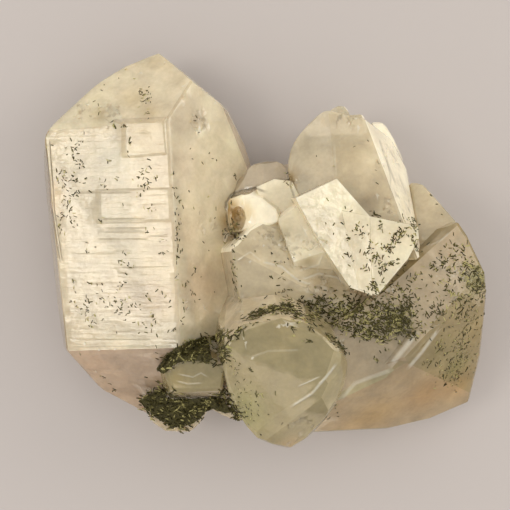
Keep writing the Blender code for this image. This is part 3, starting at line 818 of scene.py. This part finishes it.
def find_cells(tree, chips):
    """The small cubes with fine features in them: the longest edge there and the features."""
    spots = [
        (px, py, 0.4, 0.42, ("crease", name))
        for name, (points, _, _, _) in CREASES.items()
        for px, py in along(points, 1.5)
    ]
    spots += [(px, py, radius, 0.7, ("rough", number))
              for number, (px, py, radius, _) in enumerate(ROUGH_SPOTS)]
    placed = []
    for px, py, radius, longest, feature in spots:
        place = tree.ray_cast(CAMERA_PLACE, picture_ray(px, py))[0]
        if place is not None:
            placed.append((place, radius, longest, feature))
    for number, (place, _, _, radius, _) in enumerate(chips):
        placed.append((place, radius, max(0.24, 0.6 * radius), ("chip", number)))
    cells = {}
    for place, radius, longest, feature in placed:
        reach = math.ceil(radius * MM / CELL + 0.5)
        middle = cell_of(place)
        for dx in range(-reach, reach + 1):
            for dy in range(-reach, reach + 1):
                for dz in range(-reach, reach + 1):
                    if math.sqrt(dx * dx + dy * dy + dz * dz) * CELL <= radius * MM + 0.7 * CELL:
                        cell = cells.setdefault(
                            (middle[0] + dx, middle[1] + dy, middle[2] + dz), [1.0, set()]
                        )
                        cell[0] = min(cell[0], longest * MM)
                        cell[1].add(feature)
    return cells


def refine(shape, longest, cells=None):
    """Cuts the faces up until no edge is much longer than this, or than its cell allows."""
    cells = cells or {}
    bmesh.ops.triangulate(shape, faces=shape.faces[:])
    for _ in range(9):
        long_edges = []
        for edge in shape.edges:
            first, second = edge.verts
            length = (first.co - second.co).length
            if length > longest:
                long_edges.append(edge)
            elif cells:
                cell = cells.get(cell_of((first.co + second.co) / 2))
                if cell is not None and length > cell[0]:
                    long_edges.append(edge)
        if not long_edges:
            break
        bmesh.ops.subdivide_edges(shape, edges=long_edges, cuts=1)
        bmesh.ops.triangulate(shape, faces=[face for face in shape.faces if len(face.verts) > 3])


def shape_surface(shape, tree, cells, chips):
    """Raises the ridges, sinks the grooves, cuts the chips and breaks up the rough spots. It gives back a tint
    for each moved corner: painted highlights on ridges and chips, painted shade in grooves.
    """
    chance = random.Random(5)
    shape.normal_update()
    spots = []
    for px, py, radius, height in ROUGH_SPOTS:
        place = tree.ray_cast(CAMERA_PLACE, picture_ray(px, py))[0]
        spots.append((place, radius * MM, height * MM))
    tints = {}
    moved = []
    for vert in shape.verts:
        cell = cells.get(cell_of(vert.co))
        if cell is None:
            continue
        towards = vert.co - CAMERA_PLACE
        distance = tree.ray_cast(CAMERA_PLACE, towards.normalized())[3]
        if distance is None or distance < towards.length - 0.05 * MM:
            continue
        px, py = picture_place(vert.co)
        point = vert.co.copy()
        tint = 1.0
        for kind, name in sorted(cell[1], key=str):
            if kind == "crease":
                points, width, rise, shade = CREASES[name]
                offset, ends = crease_offset(points, px, py)
                if offset < width:
                    share = 1 - offset / width
                    point += vert.normal * (rise * MM * share * ends)
                    # Painted light and shade: ridges are painted lighter, grooves darker.
                    tint *= 1 + (shade - 1) * min(1.0, 1.6 * share) * ends
            elif kind == "rough":
                place, radius, height = spots[name]
                away = (vert.co - place).length / radius
                if away < 1:
                    point += vert.normal * (height * chance.uniform(-1, 1) * (1 - away * away))
            else:
                place, facing, axes, _, bright = chips[name]
                away = point - place
                if abs(away.dot(axes[0])) + abs(away.dot(axes[1])) < 1:
                    above = away.dot(facing)
                    if 0 < above < 1.2 * MM:
                        point -= facing * above
                        # Painted brightness of the chip: a highlight on a chip, lighter or darker at random on a
                        # cut.
                        tint *= bright
        moved.append((vert, point))
        tints[vert] = min(1.6, max(0.5, tint))
    for vert, point in moved:
        vert.co = point
    return tints


def paint_facets(shape):
    """Gives each facet the tone of the place in the picture that names it, or of the nearest one."""
    layer = shape.faces.layers.int.new("facet")
    tree = BVHTree.FromBMesh(shape)
    shape.faces.ensure_lookup_table()
    marks = []
    for number, (px, py, _, _) in enumerate(FACETS.values()):
        place, normal, index, _ = tree.ray_cast(CAMERA_PLACE, picture_ray(px, py))
        if place is None:
            raise RuntimeError(f"facet place {px}, {py} misses the quartz")
        marks.append((place, normal, number))
        shape.faces[index][layer] = number + 1
    for face in shape.faces:
        if face[layer] == 0:
            middle = face.calc_center_median()
            nearest = min(
                marks,
                key=lambda mark: (mark[0] - middle).length + 6 * MM * (1 - mark[1].dot(face.normal)),
            )
            face[layer] = nearest[2] + 1


def paint_tones(shape, tints):
    """Colours every corner: the facet's tone times the painted light and shade of the zones and grooves and the
    stains, lightened towards the glint tone where ridges and chips carry painted highlights.
    """
    layer = shape.faces.layers.int["facet"]
    paint = shape.loops.layers.float_color.new("tone")
    lines = shape.loops.layers.float_color.new("lined")
    lined = {number + 1 for number, name in enumerate(FACETS) if name in LINED_FACETS}
    tones = [(Vector(PALETTE[name]), milk) for _, _, name, milk in FACETS.values()]
    zones = []
    tree = BVHTree.FromBMesh(shape)
    for px, py, radius, tint in ZONES.values():
        place, _, _, _ = tree.ray_cast(CAMERA_PLACE, picture_ray(px, py))
        zones.append((place, radius * MM, Vector(tint)))
    shape.verts.index_update()
    # Each corner's tint: painted shade and painted light from the zones and the grooves, and the brown stains
    # around the hollow and the seam.
    painted_light_and_stains = []
    for vert in shape.verts:
        light_shade_and_stain = Vector((1.0, 1.0, 1.0)) * min(1.0, tints.get(vert, 1.0))
        for place, radius, tint in zones:
            share = 1 - (vert.co - place).length / radius
            if share > 0:
                share = share * share * (3 - 2 * share)
                light_shade_and_stain *= Vector((1.0, 1.0, 1.0)).lerp(tint, share)
        painted_light_and_stains.append((light_shade_and_stain, min(1.0, max(0.0, tints.get(vert, 1.0) - 1.0))))
    for face in shape.faces:
        number = face[layer]
        colour, milk = tones[number - 1]
        for loop in face.loops:
            # The corner colour: the facet tone times painted light and shade, lightened towards the glint tone
            # as a painted highlight on ridges and chips.
            light_shade_and_stain, glint = painted_light_and_stains[loop.vert.index]
            loop[paint] = (*(colour * light_shade_and_stain).lerp(GLINT, glint), milk)
            loop[lines] = (1.0, 1.0, 1.0, 1.0 if number in lined else 0.0)


class MINERAL_OT_quartz(bpy.types.Operator):
    """Build the quartz crystals"""

    bl_idname = "mineral.quartz"
    bl_label = "Quartz crystals"

    def execute(self, context):
        looks = context.scene.quartz_looks
        shape = merged_copy(QUARTZ_NODE)
        wear_edges(shape, looks.edge)
        paint_facets(shape)
        cut_creases(shape)
        tree = BVHTree.FromBMesh(shape)
        chips = find_chips(tree)
        cells = find_cells(tree, chips)
        refine(shape, looks.grid, cells)
        tints = shape_surface(shape, tree, cells, chips)
        paint_tones(shape, tints)
        material = quartz_material(looks)
        piece = add_piece(QUARTZ_PIECE, shape, [material])
        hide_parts(QUARTZ_NODE)
        return {"FINISHED"}


def needle_template():
    """The corners and faces of a six-sided needle, one unit long and one wide, along Z."""
    shape = bmesh.new()
    bmesh.ops.create_cone(
        shape, cap_ends=True, segments=6, radius1=0.5, radius2=0.5, depth=0.74
    )
    tips = [face for face in shape.faces if abs(face.normal.z) > 0.9]
    bmesh.ops.inset_individual(shape, faces=tips, thickness=0.3, depth=0.13)
    shape.verts.index_update()
    corners_of = np.array([vert.co for vert in shape.verts])
    faces = [[vert.index for vert in face.verts] for face in shape.faces]
    shape.free()
    return corners_of, faces


def needle_pose(middle, along_it, up, length, width):
    """The three sides and the middle of one needle, as rows."""
    side = up.cross(along_it)
    return (side * width, up * (width * 0.8), along_it * length, middle)


def join_needles(shape, poses, shades):
    """Joins to the shape one needle for every pose, each with a shade of its own."""
    points, faces = needle_template()
    poses = np.array(poses)
    places = np.einsum("nj,kji->kni", points, poses[:, :3]) + poses[:, 3:4]
    count = len(points)
    mesh = bpy.data.meshes.new("needles")
    mesh.from_pydata(
        places.reshape(-1, 3).tolist(),
        [],
        [[number * count + index for index in face] for number in range(len(poses)) for face in faces],
    )
    loops = sum(len(face) for face in faces)
    paint = mesh.color_attributes.new("shade", "FLOAT_COLOR", "CORNER")
    greys = np.repeat(np.array(shades), loops)
    paint.data.foreach_set("color", np.repeat(greys, 4))
    shape.from_mesh(mesh)
    bpy.data.meshes.remove(mesh)


def lay_needles(shape, grounds, strands, looks, chance, pile=0.0, tilt=0.2, size=1.0):
    """Lays needles along strands, each sunk a little into what shows at its place in the picture."""
    poses = []
    shades = []
    for x0, y0, x1, y1, spread, count in strands:
        heading = math.atan2(y0 - y1, x1 - x0)
        for _ in range(count):
            share = chance.random()
            px = x0 + share * (x1 - x0) + chance.gauss(0, 1.4) * spread
            py = y0 + share * (y1 - y0) + chance.gauss(0, 1.4) * spread
            turn = chance.uniform(0, math.pi)
            if chance.random() < 0.35:
                turn = heading + chance.gauss(0, 0.5)
            length = size * looks.needle_length * chance.uniform(0.45, 1.45)
            width = math.sqrt(size) * looks.needle_width * chance.uniform(0.65, 1.3)
            lift = chance.random() * pile
            lean = chance.uniform(-tilt, tilt)
            shade = chance.random()
            hits = [ground.ray_cast(CAMERA_PLACE, picture_ray(px, py)) for ground in grounds]
            hits = [hit for hit in hits if hit[0] is not None]
            if not hits:
                continue
            place, normal, _, _ = min(hits, key=lambda hit: hit[3])
            flat = Vector((math.cos(turn), math.sin(turn), 0.0))
            flat = (flat - normal * flat.dot(normal)).normalized()
            along_it = (flat * math.cos(lean) + normal * math.sin(lean)).normalized()
            up = (normal - along_it * normal.dot(along_it)).normalized()
            middle = place + normal * (0.12 * width + lift)
            poses.append(needle_pose(middle, along_it, up, length, width))
            shades.append(shade)
    join_needles(shape, poses, shades)


def rough_mat(node, looks, chance):
    """The shape of a thick mat of epidote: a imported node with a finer, broken surface."""
    shape = merged_copy(node)
    refine(shape, looks.mat_grid)
    paint = shape.loops.layers.float_color.new("shade")
    for face in shape.faces:
        shade = chance.uniform(0.0, 0.6)
        for loop in face.loops:
            loop[paint] = (shade, shade, shade, 1.0)
    shape.normal_update()
    for vert in shape.verts:
        coarse = noise.noise(vert.co / (1.6 * MM))
        vert.co += vert.normal * (looks.mat_height * (0.7 * coarse + chance.uniform(-0.5, 0.5)))
    return shape


class MINERAL_OT_thick_epidote(bpy.types.Operator):
    """Build the mats and the band of dense epidote"""

    bl_idname = "mineral.thick_epidote"
    bl_label = "Thick epidote"

    def execute(self, context):
        looks = context.scene.epidote_looks
        material = epidote_material(looks)
        quartz = BVHTree.FromObject(bpy.data.objects[QUARTZ_PIECE], context.evaluated_depsgraph_get())
        for number, (node, strands) in enumerate(THICK_NEEDLES.items()):
            chance = random.Random(40 + number)
            grounds = [quartz]
            if node == BAND_NODE:
                shape = bmesh.new()
                pile, size = looks.band_pile, 1.0
            else:
                shape = rough_mat(node, looks, chance)
                grounds.append(BVHTree.FromBMesh(shape))
                pile, size = looks.mat_pile, 1.3
            lay_needles(shape, grounds, strands, looks, chance, pile, 0.5, size)
            piece = add_piece(node.replace("epidote", "dense"), shape, [material])
            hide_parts(node)
        return {"FINISHED"}


class MINERAL_OT_loose_needles(bpy.types.Operator):
    """Scatter the single epidote needles over the crystals"""

    bl_idname = "mineral.loose_needles"
    bl_label = "Loose needles"

    def execute(self, context):
        looks = context.scene.epidote_looks
        material = epidote_material(looks)
        quartz = BVHTree.FromObject(bpy.data.objects[QUARTZ_PIECE], context.evaluated_depsgraph_get())
        for number, (name, strands) in enumerate(LOOSE_NEEDLES.items()):
            shape = bmesh.new()
            size = NEEDLE_SIZES[name]
            lay_needles(shape, [quartz], strands, looks, random.Random(60 + number), size=size)
            piece = add_piece(name, shape, [material])
        return {"FINISHED"}


class MINERAL_OT_stage(bpy.types.Operator):
    """Set up the floor, the lights and the camera"""

    bl_idname = "mineral.stage"
    bl_label = "Floor, lights and camera"

    def execute(self, context):
        looks = context.scene.stage_looks
        shape = bmesh.new()
        bmesh.ops.create_grid(shape, x_segments=1, y_segments=1, size=3.0)
        mesh = bpy.data.meshes.new("floor")
        shape.to_mesh(mesh)
        shape.free()
        floor = bpy.data.objects.new("floor", mesh)
        context.scene.collection.objects.link(floor)
        graph = Graph("floor")
        surface = graph.node(
            "ShaderNodeBsdfPrincipled", {}, {"Base Color": looks.floor, "Roughness": 0.9}
        )
        mesh.materials.append(graph.finish(surface))
        world = bpy.data.worlds.new("air")
        context.scene.world = world
        world.use_nodes = True
        air = world.node_tree.nodes["Background"]
        air.inputs["Color"].default_value = (1.0, 0.955, 0.88, 1.0)
        air.inputs["Strength"].default_value = looks.air
        self.add_light(context, "key", KEY_PLACE, 0.42, looks.key, (1.0, 0.94, 0.83))
        self.add_light(context, "fill", FILL_PLACE, 0.5, looks.fill, (1.0, 0.95, 0.86))
        camera_data = bpy.data.cameras.new("camera")
        camera_data.sensor_width = SENSOR_WIDTH
        camera_data.lens = SENSOR_WIDTH * FOCAL_PIXELS / PICTURE_SIDE
        camera_data.clip_start = 0.01
        camera_data.clip_end = 20.0
        camera = bpy.data.objects.new("camera", camera_data)
        camera.location = CAMERA_PLACE
        context.scene.collection.objects.link(camera)
        context.scene.camera = camera
        context.scene.view_settings.view_transform = "Standard"
        return {"FINISHED"}

    @staticmethod
    def add_light(context, name, place, side, radiance, colour):
        """A round soft light that faces the cluster."""
        data = bpy.data.lights.new(name, "AREA")
        data.shape = "DISK"
        data.size = side
        data.color = colour
        data.energy = radiance * math.pi * math.pi * (side / 2) ** 2
        light = bpy.data.objects.new(name, data)
        light.location = place
        towards = Vector((0.0, 0.0, 0.015)) - Vector(place)
        light.rotation_euler = towards.to_track_quat("-Z", "Y").to_euler()
        context.scene.collection.objects.link(light)


class MINERAL_PT_panel(bpy.types.Panel):
    """Lists the steps that dress the cluster"""

    bl_label = "Epidote with quartz"
    bl_idname = "MINERAL_PT_panel"
    bl_space_type = "VIEW_3D"
    bl_region_type = "UI"
    bl_category = "Mineral"

    def draw(self, context):
        for looks in ("quartz_looks", "epidote_looks", "stage_looks"):
            group = getattr(context.scene, looks)
            for name in group.__annotations__:
                self.layout.prop(group, name)
        for step in STEPS:
            self.layout.operator(step.bl_idname)


STEPS = (MINERAL_OT_quartz, MINERAL_OT_thick_epidote, MINERAL_OT_loose_needles, MINERAL_OT_stage)
GROUPS = {"quartz_looks": QuartzLooks, "epidote_looks": EpidoteLooks, "stage_looks": StageLooks}


def register():
    for kind in (*GROUPS.values(), *STEPS, MINERAL_PT_panel):
        bpy.utils.register_class(kind)
    for name, group in GROUPS.items():
        setattr(bpy.types.Scene, name, bpy.props.PointerProperty(type=group))


def unregister():
    for name in GROUPS:
        delattr(bpy.types.Scene, name)
    for kind in reversed((*GROUPS.values(), *STEPS, MINERAL_PT_panel)):
        bpy.utils.unregister_class(kind)


def main():
    register()
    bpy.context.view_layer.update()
    bpy.ops.mineral.quartz()
    bpy.ops.mineral.thick_epidote()
    bpy.ops.mineral.loose_needles()
    bpy.ops.mineral.stage()


if __name__ == "__main__":
    main()
